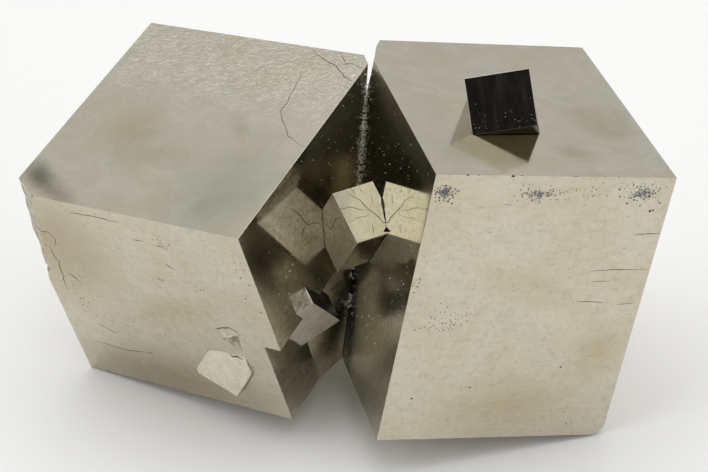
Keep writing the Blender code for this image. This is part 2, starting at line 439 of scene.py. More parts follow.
def crystal_face(name, place, turn, colours, roughness, spread=0.05, stain=0.6, lines=0.004,
                 line_stretch=(0.22, 0.22, 2.4), grain=0.002, patch=0.45, speck=0.5, ripple=None,
                 haze=(), spots=(), etched=(), etched_colour=None, level="Y_AXIS"):
    """Pyrite grown as a crystal: opaque brassy grey metal, satin where growth lines scatter light.

    colours are the clean, dull and tarnished ones. lines and grain are depths, in millimetres;
    the growth lines of the real thing are finer than 0.1 mm and are drawn about 0.4 mm apart so
    that they show. patch is how many dull patches a millimetre holds. haze rows are an axis, two
    places along it and the roughness gained between them. spots are a middle, radii, a turn and a
    tint each, and etched ones a middle and radii. level is the axis that spots turn about.
    """
    material, tree, shader = new_material(name, 1.0, roughness)
    clean, dull, tarnished = [linear(colour) for colour in colours]
    own = own_millimetres(tree, place, turn)
    lined = own_millimetres(tree, place, turn, line_stretch)
    clouds = add(tree, "TexNoise", {"Vector": own, "Scale": 0.11, "Detail": 5.0,
                                    "Roughness": 0.6, "Distortion": 0.6})
    patches = add(tree, "TexNoise", {"Vector": own, "Scale": patch, "Detail": 5.0,
                                     "Roughness": 0.65, "Distortion": 1.6})
    specks = add(tree, "TexNoise", {"Vector": own, "Scale": 1.7, "Detail": 4.0, "Roughness": 0.7})
    streaks = add(tree, "TexNoise", {"Vector": lined, "Scale": 1.0, "Detail": 4.0,
                                     "Roughness": 0.65, "Distortion": 0.3})

    # Colour: dull patches, a broken film of tarnish, fine specks and growth lines, then spots of stain,
    # painted shade and painted reflection.
    share = add(tree, "MapRange", {"Value": patches, "From Min": 0.3, "From Max": 0.7},
                interpolation_type="SMOOTHSTEP")
    colour = add(tree, "Mix", {"Factor": share, "A": clean, "B": dull}, data_type="RGBA")
    film = add(tree, "MapRange", {"Value": clouds, "From Min": 0.40, "From Max": 0.66,
                                  "To Max": stain}, interpolation_type="SMOOTHSTEP")
    colour = add(tree, "Mix", {"Factor": film, "A": colour, "B": tarnished}, data_type="RGBA")
    shade = linear(SPECK_SHADE)
    for value, strength in ((specks, speck), (streaks, speck * 0.35)):
        share = add(tree, "MapRange", {"Value": value, "From Min": 0.52, "From Max": 0.72,
                                       "To Max": strength})
        colour = add(tree, "Mix", {"Factor": share, "A": colour, "B": shade}, data_type="RGBA",
                     blend_type="MULTIPLY")
    for middle, radii, angle, tint in spots:
        far = distance_from(tree, own, middle, radii, angle, level)
        frayed = add(tree, "Math", {0: specks, 1: 0.5, 2: far}, operation="MULTIPLY_ADD")
        frayed = add(tree, "Math", {0: clouds, 1: 0.8, 2: frayed}, operation="MULTIPLY_ADD")
        share = add(tree, "MapRange", {"Value": frayed, "From Min": 1.75, "From Max": 0.65},
                    interpolation_type="SMOOTHSTEP")
        colour = add(tree, "Mix", {"Factor": share, "A": colour, "B": linear(tint)},
                     data_type="RGBA", blend_type="MULTIPLY")

    # Roughness: growth lines scatter more or less, and worn or etched stretches more still.
    rough = add(tree, "MapRange", {"Value": streaks, "From Min": 0.3, "From Max": 0.7,
                                   "To Min": roughness - spread, "To Max": roughness + spread})
    split = add(tree, "SeparateXYZ", {0: own})
    for axis, start, end, gained in haze:
        share = add(tree, "MapRange", {"Value": split.outputs[axis], "From Min": start,
                                       "From Max": end, "To Max": gained},
                    interpolation_type="SMOOTHSTEP")
        rough = add(tree, "Math", {0: rough, 1: share}, operation="ADD")

    # Relief: growth lines, a fine grain and, on one face, long ripples towards the back.
    normal = add(tree, "Bump", {"Height": streaks, "Distance": lines * MM, "Strength": 1.0})
    normal = add(tree, "Bump", {"Height": specks, "Distance": grain * MM, "Strength": 1.0,
                                "Normal": normal})
    if ripple:
        depth, start, end = ripple
        swell = own_millimetres(tree, place, turn, (0.75, 1.5, 1.0))
        waves = add(tree, "TexNoise", {"Vector": swell, "Scale": 1.2, "Detail": 3.0,
                                       "Roughness": 0.6, "Distortion": 2.4})
        zone = add(tree, "MapRange", {"Value": split.outputs["Y"], "From Min": start,
                                      "From Max": end}, interpolation_type="SMOOTHSTEP")
        waves = add(tree, "Math", {0: waves, 1: zone}, operation="MULTIPLY")
        normal = add(tree, "Bump", {"Height": waves, "Distance": depth * MM, "Strength": 1.0,
                                    "Normal": normal})
    if etched:
        near = None
        for middle, radii in etched:
            far = distance_from(tree, own, middle, radii, 0.0, level)
            near = far if near is None else add(tree, "Math", {0: near, 1: far},
                                                operation="MINIMUM")
        crust = add(tree, "TexNoise", {"Vector": own, "Scale": 2.2, "Detail": 5.0,
                                       "Roughness": 0.75, "Distortion": 0.8})
        crust = add(tree, "Math", {0: near, 1: -0.28, 2: crust}, operation="MULTIPLY_ADD")
        share = add(tree, "MapRange", {"Value": crust, "From Min": 0.36, "From Max": 0.46},
                    interpolation_type="SMOOTHSTEP")
        colour = add(tree, "Mix", {"Factor": share, "A": colour, "B": linear(etched_colour)},
                     data_type="RGBA")
        rough = add(tree, "Math", {0: share, 1: 0.15, 2: rough}, operation="MULTIPLY_ADD")
        normal = add(tree, "Bump", {"Height": share, "Distance": -0.03 * MM, "Strength": 1.0,
                                    "Normal": normal})
    feed(tree, shader, {"Base Color": colour, "Roughness": rough, "Normal": normal})
    return material


def gritty(name, colour, metallic, roughness, pitch, start, tone, detail=2.0, coarse=0.5, relief=0.0):
    """Make a material mottled by a grit of so many grains a millimetre, tone times as light."""
    material, tree, shader = new_material(name, metallic, roughness)
    here = add(tree, "TexCoord").outputs["Object"]
    grit = add(tree, "TexNoise", {"Vector": here, "Scale": pitch / MM, "Detail": detail,
                                  "Roughness": coarse})
    share = add(tree, "MapRange", {"Value": grit, "From Min": start, "From Max": 0.65})
    plain = linear(colour)
    mottled = (*[channel * tone for channel in plain[:3]], 1.0)
    feed(tree, shader, {"Base Color": add(tree, "Mix", {"Factor": share, "A": plain, "B": mottled},
                                          data_type="RGBA")})
    if relief:
        feed(tree, shader, {"Normal": add(tree, "Bump", {"Height": grit, "Distance": relief * MM,
                                                         "Strength": 1.0})})
    return material


def broken_face(name, colour):
    """Pyrite broken across: uneven fracture, the same metal with a coarse glitter."""
    return gritty(name, colour, metallic=1.0, roughness=0.38, pitch=1.4, start=0.45, tone=0.45,
                  detail=3.0, coarse=0.6, relief=0.06)


def pale_dust(name, colour):
    """Pale mineral dust and grains: dull, off-white, hardly metallic, each grain uneven."""
    return gritty(name, colour, metallic=0.0, roughness=0.6, pitch=2.0, start=0.35, tone=0.7)


def oxide(name, colour):
    """Iron oxide in cracks and pits: dull, dark, hardly metallic."""
    return gritty(name, colour, metallic=0.4, roughness=0.7, pitch=2.5, start=0.35, tone=2.2)


# ------------------------------------------------------------------------------ modelling by hand


def select_only(thing):
    """Make one object the whole selection."""
    bpy.ops.object.select_all(action="DESELECT")
    thing.select_set(True)
    bpy.context.view_layer.objects.active = thing


def settle(thing):
    """Put an object's place, turn and size into its mesh."""
    select_only(thing)
    bpy.ops.object.transform_apply(location=True, rotation=True, scale=True)


@contextmanager
def whole_mesh(thing):
    """Edit an object with its whole mesh selected."""
    select_only(thing)
    bpy.ops.object.mode_set(mode="EDIT")
    bpy.ops.mesh.select_all(action="SELECT")
    yield
    bpy.ops.object.mode_set(mode="OBJECT")


def added(primitive, **settings):
    """Add a primitive with nothing else selected, and return it."""
    bpy.ops.object.select_all(action="DESELECT")
    primitive(**settings)
    return bpy.context.active_object


def facing_along(direction):
    """Return the turn that points Z along a direction."""
    return Vector(direction).to_track_quat("Z", "Y").to_matrix().to_4x4()


def apply_modifier(thing, kind, **settings):
    """Add a modifier and apply it."""
    select_only(thing)
    modifier = thing.modifiers.new(kind.lower(), kind)
    for name, value in settings.items():
        setattr(modifier, name, value)
    bpy.ops.object.modifier_apply(modifier=modifier.name)


def block(name, low, high, material=None):
    """Add a block between two corners."""
    low = Vector(low)
    high = Vector(high)
    thing = added(bpy.ops.mesh.primitive_cube_add, size=1.0, location=(low + high) / 2,
                  scale=high - low)
    thing.name = name
    settle(thing)
    if material:
        thing.data.materials.append(material)
    return thing


def cube_about_middle(name, size, grow=0.0, material=None):
    """Add a block about the origin, larger on every side by grow."""
    half = Vector(size) / 2 + Vector((grow, grow, grow))
    return block(name, -half, half, material)


def slice_off(thing, point, normal):
    """Cut away what lies beyond a plane, and close the cut."""
    with whole_mesh(thing):
        bpy.ops.mesh.bisect(plane_co=point, plane_no=normal, use_fill=True, clear_outer=True)


def move(thing, placing):
    """Move an object and put the move into its mesh."""
    thing.matrix_world = placing
    settle(thing)


def carve(thing, cutters):
    """Subtract a list of cutters, whose materials line the holes."""
    cutter = joined(cutters)
    apply_modifier(thing, "BOOLEAN", operation="DIFFERENCE", solver="EXACT", object=cutter,
                   material_mode="TRANSFER", use_self=len(cutters) > 1)
    bpy.data.objects.remove(cutter, do_unlink=True)


def joined(things):
    """Join a list of objects into its first one."""
    select_only(things[0])
    for thing in things[1:]:
        thing.select_set(True)
    if len(things) > 1:
        bpy.ops.object.join()
    return things[0]


def groove(face, size, row, material, rng, wander=0.1):
    """Add the cutter for a row's thin crack on a face, with tapered ends and a natural wander."""
    width, *points = row
    across, up = axes_of(face)
    points = on_face(face, size, points)
    path = []
    for start, end in zip(points, points[1:]):
        steps = max(1, round((end - start).length / CRACK_STEP))
        for step in range(steps):
            spot = start.lerp(end, step / steps)
            if path:
                spot += across * rng.uniform(-wander, wander) + up * rng.uniform(-wander, wander)
            path.append(spot)
    path.append(points[-1])
    curve = bpy.data.curves.new("groove", "CURVE")
    curve.dimensions = "3D"
    curve.bevel_depth = width / 2
    curve.bevel_resolution = 0
    curve.use_fill_caps = True
    line = curve.splines.new("POLY")
    line.points.add(len(path) - 1)
    for number, (point, spot) in enumerate(zip(line.points, path)):
        point.co = (*spot, 1.0)
        taper = min(number, len(path) - 1 - number) / max(1, (len(path) - 1) / 4)
        point.radius = min(1.0, CRACK_TIP + (1.0 - CRACK_TIP) * taper) * rng.uniform(0.75, 1.1)
    thing = bpy.data.objects.new("groove", curve)
    bpy.context.scene.collection.objects.link(thing)
    select_only(thing)
    bpy.ops.object.convert(target="MESH")
    thing = bpy.context.active_object
    with whole_mesh(thing):
        bpy.ops.mesh.remove_doubles(threshold=WELD)
        bpy.ops.mesh.normals_make_consistent(inside=False)
    thing.data.materials.clear()
    thing.data.materials.append(material)
    return thing


def grooves(face, size, rows, material, rng, wander=0.1):
    """Return the crack cutters of a table's rows."""
    return [groove(face, size, row, material, rng, wander) for row in rows]


def placed_copy(model, placing, material):
    """Copy a model, with a mesh of its own that is already in its place."""
    thing = model.copy()
    thing.data = model.data.copy()
    thing.data.transform(placing)
    thing.data.materials.append(material)
    bpy.context.scene.collection.objects.link(thing)
    return thing


def pit_model():
    """Add the ball that pits are cut with, one millimetre in radius."""
    return added(bpy.ops.mesh.primitive_ico_sphere_add, subdivisions=1, radius=1.0)


def pit_place(spot, radii, turn, facing):
    """Return the matrix that flattens, turns and places a pit on a surface."""
    spin = Matrix.Rotation(radians(turn), 4, "Z")
    shape = Matrix.Diagonal((*radii, 1.0))
    return Matrix.Translation(spot) @ facing_along(facing) @ spin @ shape


def dimple(spot, radii, material, facing=FACES["top"]):
    """Add a single pit cutter."""
    thing = pit_model()
    thing.data.materials.append(material)
    move(thing, pit_place(spot, radii, 0.0, facing))
    return thing


def corner_print(spot, radius, depth, material, turn):
    """Add the cutter for a three-sided pit in the front face, as a cube's corner would press it."""
    thing = added(bpy.ops.mesh.primitive_cone_add, vertices=3, radius1=radius * 2.0,
                  depth=depth * 2.0)
    thing.data.materials.append(material)
    spin = Matrix.Rotation(radians(turn), 4, "Z")
    move(thing, Matrix.Translation(spot) @ facing_along(FACES["back"]) @ spin)
    return thing


def scattered(face, size, row, material, rng, taken):
    """Return the pit cutters of one row, scattered on a face and clear of each other."""
    middle, spread, count, radii = row
    across, up = axes_of(face)
    normal = FACES[face]
    level = normal * abs(Vector(size).dot(normal)) / 2
    model = pit_model()
    cutters = []
    for _ in range(count * PIT_TRIES):
        if len(cutters) == count:
            break
        radius = rng.uniform(*radii)
        spot = level + across * rng.gauss(middle[0], spread[0]) + up * rng.gauss(middle[1], spread[1])
        if any((spot - other).length < radius + reach for other, reach in taken):
            continue
        if any(abs(spot.dot(axis)) > abs(Vector(size).dot(axis)) / 2 - radius for axis in (across, up)):
            continue
        taken.append((spot, radius * PIT_ROOM))
        shape = (radius, radius, radius * PIT_DEPTH)
        cutters.append(placed_copy(model, pit_place(spot, shape, rng.uniform(0.0, 180.0), normal), material))
    bpy.data.objects.remove(model, do_unlink=True)
    return cutters


def pits(face, size, rows, material, rng, taken):
    """Return the pit cutters of a table's rows."""
    return [pit for row in rows for pit in scattered(face, size, row, material, rng, taken)]


def axes_of(face):
    """Return a face's across and up directions, seen from outside, in the crystal's frame."""
    if face in ("front", "back"):
        return Vector((1.0, 0.0, 0.0)), Vector((0.0, 0.0, 1.0))
    if face in ("left", "right"):
        return Vector((0.0, 1.0, 0.0)), Vector((0.0, 0.0, 1.0))
    return Vector((1.0, 0.0, 0.0)), Vector((0.0, 1.0, 0.0))


def on_face(face, size, points):
    """Return points across and up a face as points in the crystal's frame."""
    across, up = axes_of(face)
    normal = FACES[face]
    level = normal * abs(Vector(size).dot(normal)) / 2
    return [level + across * u + up * v for u, v in points]


def broken_cutter(point, normal, reach, height, texture_size, seed, material):
    """Add a cutter with an uneven face for a broken corner; it removes what lies beyond it."""
    thing = added(bpy.ops.mesh.primitive_grid_add, x_subdivisions=FRACTURE_CELLS,
                  y_subdivisions=FRACTURE_CELLS, size=reach)
    texture = bpy.data.textures.new("fracture", "CLOUDS")
    texture.noise_scale = texture_size
    texture.noise_depth = 3
    thing.location = FRACTURE_STEP * seed
    settle(thing)
    apply_modifier(thing, "DISPLACE", texture=texture, texture_coords="LOCAL", direction="Z",
                   strength=height, mid_level=0.5)
    with whole_mesh(thing):
        bpy.ops.mesh.extrude_region_move(TRANSFORM_OT_translate={"value": (0.0, 0.0, reach / 2)})
        bpy.ops.mesh.select_all(action="SELECT")
        bpy.ops.mesh.normals_make_consistent(inside=False)
    thing.location = -FRACTURE_STEP * seed
    settle(thing)
    thing.data.materials.append(material)
    move(thing, Matrix.Translation(point) @ facing_along(normal))
    return thing


def chip_plane(size, signs, reach):
    """Return the plane that meets a corner's three edges at the given reaches."""
    corner = Vector([side * sign / 2 for side, sign in zip(size, signs)])
    points = []
    for axis in range(3):
        point = corner.copy()
        point[axis] -= signs[axis] * reach[axis]
        points.append(point)
    normal = (points[1] - points[0]).cross(points[2] - points[0]).normalized()
    if normal.dot(corner) < 0:
        normal.negate()
    middle = (points[0] + points[1] + points[2]) / 3
    return middle, normal


def break_corners(cube, size, rows, height, texture_size, material):
    """Break off the corners of a table's rows; height is how uneven the fracture is."""
    for signs, reach, width, seed in rows:
        middle, normal = chip_plane(size, signs, reach)
        carve(cube, [broken_cutter(middle, normal, width, height, texture_size, seed, material)])


def mark_hidden_sides(cube, size, cracks, patches, material, rng, taken):
    """Cut the modest cracks and pits of the sides that face away."""
    cutters = []
    for side, rows in cracks.items():
        cutters += grooves(side, size, rows, material, rng, 0.06)
        cutters += pits(side, size, patches, material, rng, taken)
    carve(cube, cutters)


def seat(cube, placing, guest, guest_placing):
    """Cut the socket of a crystal that grew into another; guest is the socket's cutter."""
    move(guest, placing.inverted() @ guest_placing)
    carve(cube, [guest])


def dress_faces(thing, finishes, other):
    """Give each flat face the finish of the side it looks to, and any other face another."""
    names = list(finishes)
    slots = []
    for material in [*finishes.values(), other]:
        if material not in slots:
            slots.append(material)
    thing.data.materials.clear()
    for material in slots:
        thing.data.materials.append(material)
    for polygon in thing.data.polygons:
        nearest = max(names, key=lambda name: polygon.normal.dot(FACES[name]))
        flat = polygon.normal.dot(FACES[nearest]) > FLAT
        polygon.material_index = slots.index(finishes[nearest] if flat else other)


def crumbs(spots, sizes, material, rng):
    """Return small crystal grains, cubes with blunt edges, at the given spots."""
    model = added(bpy.ops.mesh.primitive_cube_add, size=1.0)
    with whole_mesh(model):
        bpy.ops.mesh.bevel(offset=GRAIN_EDGE, segments=1)
    grains = []
    for spot, size in zip(spots, sizes):
        turn = Euler([rng.uniform(0.0, 1.5) for _ in range(3)]).to_matrix().to_4x4()
        shape = Matrix.Diagonal((size, size * rng.uniform(0.5, 1.0), size * rng.uniform(0.5, 1.0), 1.0))
        grains.append(placed_copy(model, Matrix.Translation(spot) @ turn @ shape, material))
    bpy.data.objects.remove(model, do_unlink=True)
    return grains


def mend_slivers(thing):
    """Take out the doubled slivers that a cut can leave, and close the hairlines beside them."""
    bpy.ops.object.mode_set(mode="EDIT")
    bpy.ops.mesh.select_mode(type="FACE")
    bpy.ops.mesh.select_all(action="DESELECT")
    bpy.ops.object.mode_set(mode="OBJECT")
    corners = [frozenset(polygon.vertices) for polygon in thing.data.polygons]
    counts = Counter(corners)
    for polygon, own in zip(thing.data.polygons, corners):
        polygon.select = counts[own] > 1
    bpy.ops.object.mode_set(mode="EDIT")
    bpy.ops.mesh.delete(type="FACE")
    bpy.ops.mesh.select_mode(type="VERT")
    bpy.ops.mesh.select_all(action="DESELECT")
    bpy.ops.mesh.select_non_manifold()
    bpy.ops.mesh.remove_doubles(threshold=HAIRLINE)
    bpy.ops.mesh.select_all(action="SELECT")
    bpy.ops.mesh.delete_loose()
    bpy.ops.object.mode_set(mode="OBJECT")


def finish_piece(thing, name, placing, node):
    """Name a modelled crystal, put it in the group, and hide the frame's part that it stands for."""
    with whole_mesh(thing):
        bpy.ops.mesh.remove_doubles(threshold=MERGE)
        bpy.ops.mesh.dissolve_degenerate(threshold=MERGE)
    mend_slivers(thing)
    move(thing, Matrix.Scale(MM, 4) @ placing)
    thing.name = name
    thing.data.name = name
    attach(thing, "root")
    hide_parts(node)


def frame_of(place, turn):
    """Return a crystal's frame in the group, in millimetres, from its place and turn."""
    return Matrix.Translation(place) @ Euler(turn, "XYZ").to_matrix().to_4x4()


def wear_edges(thing, width):
    """Round a crystal's sharp edges by wear."""
    apply_modifier(thing, "BEVEL", width=width, segments=2, limit_method="ANGLE",
                   angle_limit=radians(WORN_ANGLE), use_clamp_overlap=True)


def front_prism(name, grow, material=None):
    """Add the five-sided crystal, grown on its sides, whose face lies in the plane z = 0."""
    outline = [Vector((*corner, 0.0)) for corner in FRONT_OUTLINE]
    low, high = FRONT_BLOCK
    thing = block(name, (*low, -FRONT_DEPTH - grow), (*high, grow), material)
    for start, end in zip(outline, outline[1:] + outline[:1]):
        along = (end - start).normalized()
        outward = Vector((-along.y, along.x, 0.0))
        slice_off(thing, start + outward * grow, outward)
    return thing


def front_frame(sizes):
    """Return the front cube's frame, with z out of the face that shows."""
    across, up = FRONT_PLACE
    foot = Vector((across, -sizes.left_size[1] / 2, up))
    upright = Matrix.Rotation(radians(90.0) - sizes.front_lean, 4, "X")
    return frame_of(sizes.left_place, sizes.left_turn) @ Matrix.Translation(foot) @ upright


def step_pocket(size, material):
    """Add the cutter that sets the left cube's inner face back below a ledge."""
    floor = size[0] / 2 - STEP_DEPTH
    before, aside, behind = STEP_CLEAR
    low = (floor, -size[1] / 2 - before, -size[2] / 2 - before)
    thing = block("step", low, (floor + aside, STEP_BACK + behind, STEP_TOP), material)
    flare = radians(STEP_FLARE)
    slice_off(thing, (floor, STEP_BACK, 0.0), (-cos(flare), sin(flare), 0.0))
    return thing


def inner_block(name, sizes, grow, material=None):
    """Add the inner cube, which reaches back and down from its free corner."""
    width, depth, height = sizes.inner_size
    return block(name, (-grow, -depth - grow, -height - grow), (width + grow, grow, grow), material)


class PYRITE_OT_large_cube_left(bpy.types.Operator):
    """Model the large cube on the left, with its growth step, cracks and chipped corner"""

    bl_idname = "pyrite.large_cube_left"
    bl_label = "Large cube, left"

    def execute(self, context):
        sizes = context.scene.pyrite_sizes
        colours = context.scene.pyrite_colours
        size = sizes.left_size
        place = (sizes.left_place, sizes.left_turn)
        placing = frame_of(*place)
        face = (colours.clean, colours.dull, colours.tarnish)
        smooth = (colours.polished, colours.clouded, colours.stained)
        rng = random.Random(SEEDS["left"])
        broken = broken_face("pyrite_fracture_left", colours.fracture)
        dark = oxide("oxide_left", colours.groove)
        satin = crystal_face("pyrite_satin_left", *place, face, 0.30, grain=0.014, speck=0.35,
                             stain=0.4, spots=LEFT_SATIN_SPOTS)
        rippled = crystal_face("pyrite_rippled_left", *place, smooth, 0.24, lines=0.001,
                               line_stretch=(0.5, 1.0, 1.0), grain=0.004, patch=0.14, speck=0.12,
                               ripple=(0.16, -2.0, 13.0), stain=0.5, level="Z_AXIS",
                               spots=LEFT_TOP_SPOTS_AND_PAINTED_REFLECTION)
        mirror = crystal_face("pyrite_mirror_left", *place, smooth, 0.08, spread=0.03, stain=0.5,
                              lines=0.0006, grain=0.0012, speck=0.9, level="X_AXIS",
                              haze=(("Z", 6.0, 1.0, 0.12), ("Y", -4.5, 0.5, 0.17)),
                              spots=LEFT_INNER_PAINTED_SHADE)

        cube = cube_about_middle("left", size)
        to_left = placing.inverted() @ frame_of(sizes.right_place, sizes.right_turn)
        contact = to_left @ Vector((-sizes.right_size[0] / 2 - sizes.contact, 0.0, 0.0))
        slice_off(cube, contact, to_left.to_3x3() @ FACES["right"])
        dress_faces(cube, {"left": satin, "right": mirror, "front": satin, "back": satin,
                           "base": satin, "top": rippled}, mirror)
        carve(cube, [step_pocket(size, mirror)])
        wear_edges(cube, sizes.edge_wear)
        break_corners(cube, size, LEFT_BROKEN, 0.9, 2.0, broken)

        taken = []
        cutters = grooves("top", size, LEFT_TOP_CRACKS, dark, rng)
        cutters += grooves("front", size, LEFT_FRONT_CRACKS, dark, rng, 0.06)
        cutters += pits("front", size, LEFT_PITS, dark, rng, taken)
        carve(cube, cutters)
        carve(cube, [dimple((-size[0] / 2 + 0.3, -size[1] / 2 + 0.2, height), radii, broken)
                     for height, radii in LEFT_EDGE_BREAKS])
        mark_hidden_sides(cube, size, LEFT_HIDDEN_CRACKS, LEFT_HIDDEN_PITS, dark, rng, taken)

        # The shallow hollow above the front cube, and the crescent over it.
        carve(cube, [corner_print((8.8, -size[1] / 2, -2.7), 1.5, 0.42, broken, 35.0)])
        carve(cube, [corner_print((8.0, -size[1] / 2, -2.0), 0.9, 0.3, satin, 80.0)])
        carve(cube, [groove("front", size, CRESCENT, dark, rng, 0.03)])

        valley = cube_about_middle("valley_socket", sizes.valley_size, sizes.contact, dark)
        seat(cube, placing, valley, frame_of(sizes.valley_place, sizes.valley_turn))
        inner = inner_block("inner_socket", sizes, sizes.contact, dark)
        seat(cube, placing, inner, frame_of(sizes.inner_place, sizes.inner_turn))
        seat(cube, placing, front_prism("front_socket", sizes.contact, dark), front_frame(sizes))

        dust = pale_dust("mineral_dust_left", colours.dust)
        spots = [(size[0] / 2, rng.uniform(-12.0, 9.0), rng.uniform(-1.5, 13.0))
                 for _ in range(GRAINS["left"])]
        widths = [rng.uniform(*FINE_GRAIN) for _ in spots]
        cube = joined([cube] + crumbs(spots, widths, dust, rng))
        finish_piece(cube, "left_cube", placing, "large_cube_left")
        return {"FINISHED"}


class PYRITE_OT_large_cube_right(bpy.types.Operator):
    """Model the large cube on the right, with its pitted patches, growth lines and chips"""

    bl_idname = "pyrite.large_cube_right"
    bl_label = "Large cube, right"

    def execute(self, context):
        sizes = context.scene.pyrite_sizes
        colours = context.scene.pyrite_colours
        size = sizes.right_size
        place = (sizes.right_place, sizes.right_turn)
        placing = frame_of(*place)
        face = (colours.clean, colours.dull, colours.tarnish)
        smooth = (colours.polished, colours.clouded, colours.stained)
        rng = random.Random(SEEDS["right"])
        broken = broken_face("pyrite_fracture_right", colours.fracture)
        dark = oxide("oxide_right", colours.groove)
        grey = broken_face("pyrite_corroded_right", colours.etched)
        satin = crystal_face("pyrite_satin_right", *place, face, 0.30, grain=0.013, speck=0.35,
                             stain=0.4, spots=RIGHT_SATIN_SPOTS, etched=RIGHT_ETCHED,
                             etched_colour=colours.etched)
        polished = crystal_face("pyrite_polished_right", *place, smooth, 0.13, spread=0.03,
                                lines=0.0006, line_stretch=(0.3, 0.5, 1.0), grain=0.0012,
                                patch=0.17, speck=0.10, stain=0.6, level="Z_AXIS",
                                spots=RIGHT_TOP_SPOTS)
        mirror = crystal_face("pyrite_mirror_right", *place, smooth, 0.07, spread=0.03, stain=0.5,
                              lines=0.0008, line_stretch=(1.0, 2.5, 0.1), grain=0.0012, speck=0.9,
                              haze=(("Z", 5.0, 1.0, 0.17), ("Z", 12.0, 14.5, 0.12)),
                              level="X_AXIS", spots=RIGHT_INNER_PAINTED_SHADE)

        cube = cube_about_middle("right", size)
        dress_faces(cube, {"left": mirror, "right": satin, "front": satin, "back": satin,
                           "base": satin, "top": polished}, mirror)
        wear_edges(cube, sizes.edge_wear)
        break_corners(cube, size, RIGHT_BROKEN, 0.8, 1.6, broken)

        taken = []
        cutters = grooves("front", size, RIGHT_FRONT_CRACKS, dark, rng, 0.05)
        cutters += pits("front", size, RIGHT_PITS, dark, rng, taken)
        cutters += pits("front", size, RIGHT_ETCHED_PITS, grey, rng, taken)
        cutters += pits("front", size, RIGHT_FINE_PITS, dark, rng, taken)
        for spot, radius in RIGHT_EDGE_BREAKS:
            (edge,) = on_face("front", size, (spot,))
            cutters.append(dimple(edge, (radius * 1.6, radius, radius), grey, FACES["front"]))
        carve(cube, cutters)
        mark_hidden_sides(cube, size, RIGHT_HIDDEN_CRACKS, RIGHT_HIDDEN_PITS, dark, rng, taken)

        top = cube_about_middle("top_socket", sizes.top_size, sizes.contact, dark)
        seat(cube, placing, top, frame_of(sizes.top_place, sizes.top_turn))
        valley = cube_about_middle("valley_socket", sizes.valley_size, sizes.contact, dark)
        seat(cube, placing, valley, frame_of(sizes.valley_place, sizes.valley_turn))

        # Grains along the seam where the two large cubes meet, and dust on the inner face.
        dust = pale_dust("mineral_dust_right", colours.dust)
        spots = []
        widths = []
        left = placing.inverted() @ frame_of(sizes.left_place, sizes.left_turn)
        facing = left.to_3x3() @ FACES["right"]
        inner = left @ Vector((sizes.left_size[0] / 2, 0.0, 0.0))
        seam = facing.cross(FACES["left"]).normalized()
        outward = seam.cross(facing).normalized()
        outward = outward if outward.y < 0 else -outward
        clumps = [(rng.uniform(-12.0, 13.0), rng.uniform(0.2, 1.0)) for _ in range(SEAM_CLUMPS)]
        for _ in range(GRAINS["seam"]):
            height = rng.triangular(-12.0, 14.5, 9.0)
            away = rng.expovariate(6.0) + 0.08
            if rng.random() < 0.4:
                middle, spread = rng.choice(clumps)
                height = max(-14.0, min(14.5, rng.gauss(middle, spread)))
                away = rng.expovariate(1.4) + 0.2
            edge = Vector((-size[0] / 2, 0.0, height))
            edge.y = (facing.dot(inner) - facing.x * edge.x - facing.z * edge.z) / facing.y
            on_left = rng.random() < 0.6
            spots.append(edge + (outward if on_left else FACES["front"]) * away)
            widths.append(rng.uniform(0.07, 0.26) * (1.0 if away < 0.5 else 0.5))
        for _ in range(GRAINS["right"]):
            spots.append((-size[0] / 2, rng.uniform(-13.0, 3.0), rng.uniform(-15.5, 15.5)))
            widths.append(rng.uniform(*FINE_GRAIN))
        cube = joined([cube] + crumbs(spots, widths, dust, rng))
        finish_piece(cube, "right_cube", placing, "large_cube_right")
        return {"FINISHED"}


class PYRITE_OT_top_cube(bpy.types.Operator):
    """Model the small dark mirror-like cube on the right cube's top"""

    bl_idname = "pyrite.top_cube"
    bl_label = "Top cube"

    def execute(self, context):
        sizes = context.scene.pyrite_sizes
        colours = context.scene.pyrite_colours
        place = (sizes.top_place, sizes.top_turn)
        placing = frame_of(*place)
        rng = random.Random(SEEDS["top"])
        smooth = (colours.polished, colours.clouded, colours.stained)
        mirror = crystal_face("pyrite_mirror_top", *place, smooth, 0.08, spread=0.04,
                              line_stretch=(1.6, 1.0, 0.3), lines=0.0006)
        filmed = crystal_face("pyrite_filmed_top", *place, (colours.film,) * 3, 0.2, grain=0.006)
        cube = cube_about_middle("top", sizes.top_size)
        dress_faces(cube, {"left": mirror, "right": mirror, "front": mirror, "back": mirror,
                           "base": filmed, "top": mirror}, mirror)
        wear_edges(cube, sizes.edge_wear * 0.8)
        dust = pale_dust("mineral_dust_top", colours.dust)
        front = -sizes.top_size[1] / 2
        spots = [(rng.uniform(-3.1, 3.1), front, -2.9 + abs(rng.gauss(0.0, 1.3)))
                 for _ in range(GRAINS["top"])]
        widths = [rng.uniform(0.03, 0.06) for _ in spots]
        cube = joined([cube] + crumbs(spots, widths, dust, rng))
        finish_piece(cube, "top_mirror_cube", placing, "top_cube")
        return {"FINISHED"}


